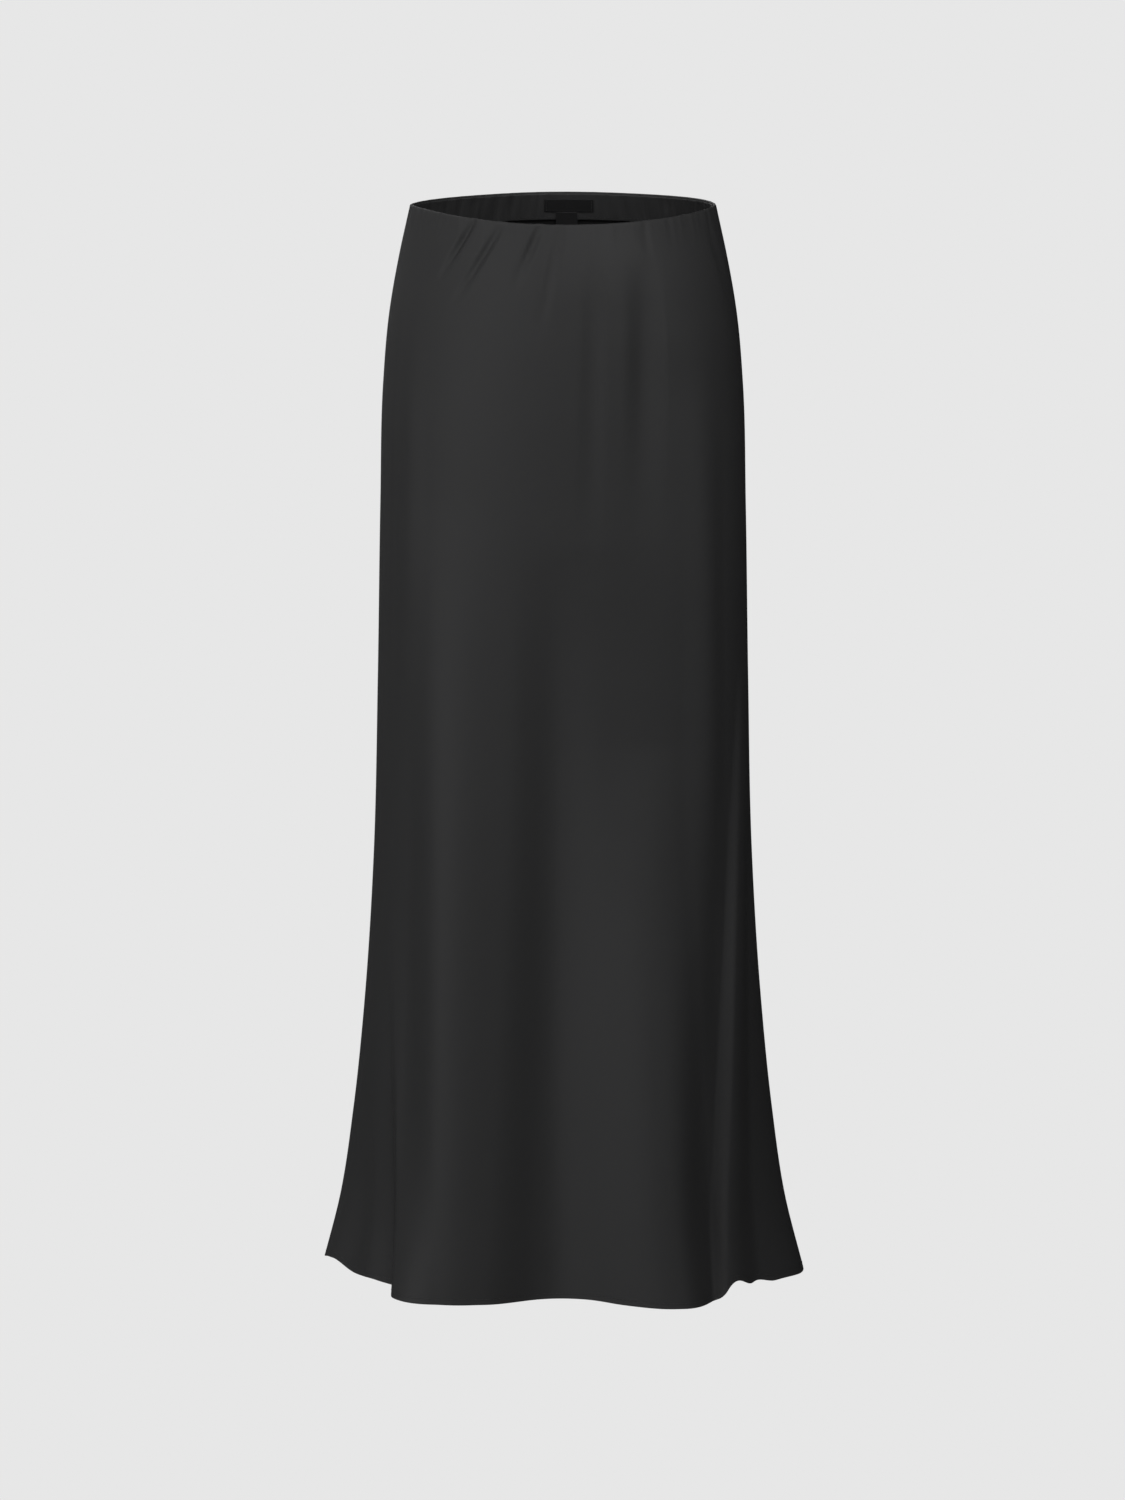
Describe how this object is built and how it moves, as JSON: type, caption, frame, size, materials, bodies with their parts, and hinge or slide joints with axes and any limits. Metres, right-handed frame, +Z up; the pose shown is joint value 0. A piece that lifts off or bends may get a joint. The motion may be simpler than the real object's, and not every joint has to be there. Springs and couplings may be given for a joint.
{
  "type": "mermaid fishtail skirt",
  "caption": "Black satin maxi skirt with a pull-on elasticated waist and a fishtail hem that opens in soft folds, filled out as if worn.",
  "frame": {"origin": "the middle of the waist opening, level with the tops of the side seams", "axes": "+Z up towards the waist opening, the hem at -Z; the front of the skirt faces -Y; +X is on the right as seen from the front"},
  "size_m": [0.4176, 0.2775, 0.9273],
  "materials": {
    "satin": "black woven satin with a soft, broad sheen",
    "casing": "the satin's duller inner face, drawn in over the elastic",
    "label": "bare black woven tape"
  },
  "bodies": {
    "root": {"front_panel": "satin", "back_panel": "satin", "waist_casing": "casing", "label_main": "label", "label_size": "label"}
  },
  "joints": []
}
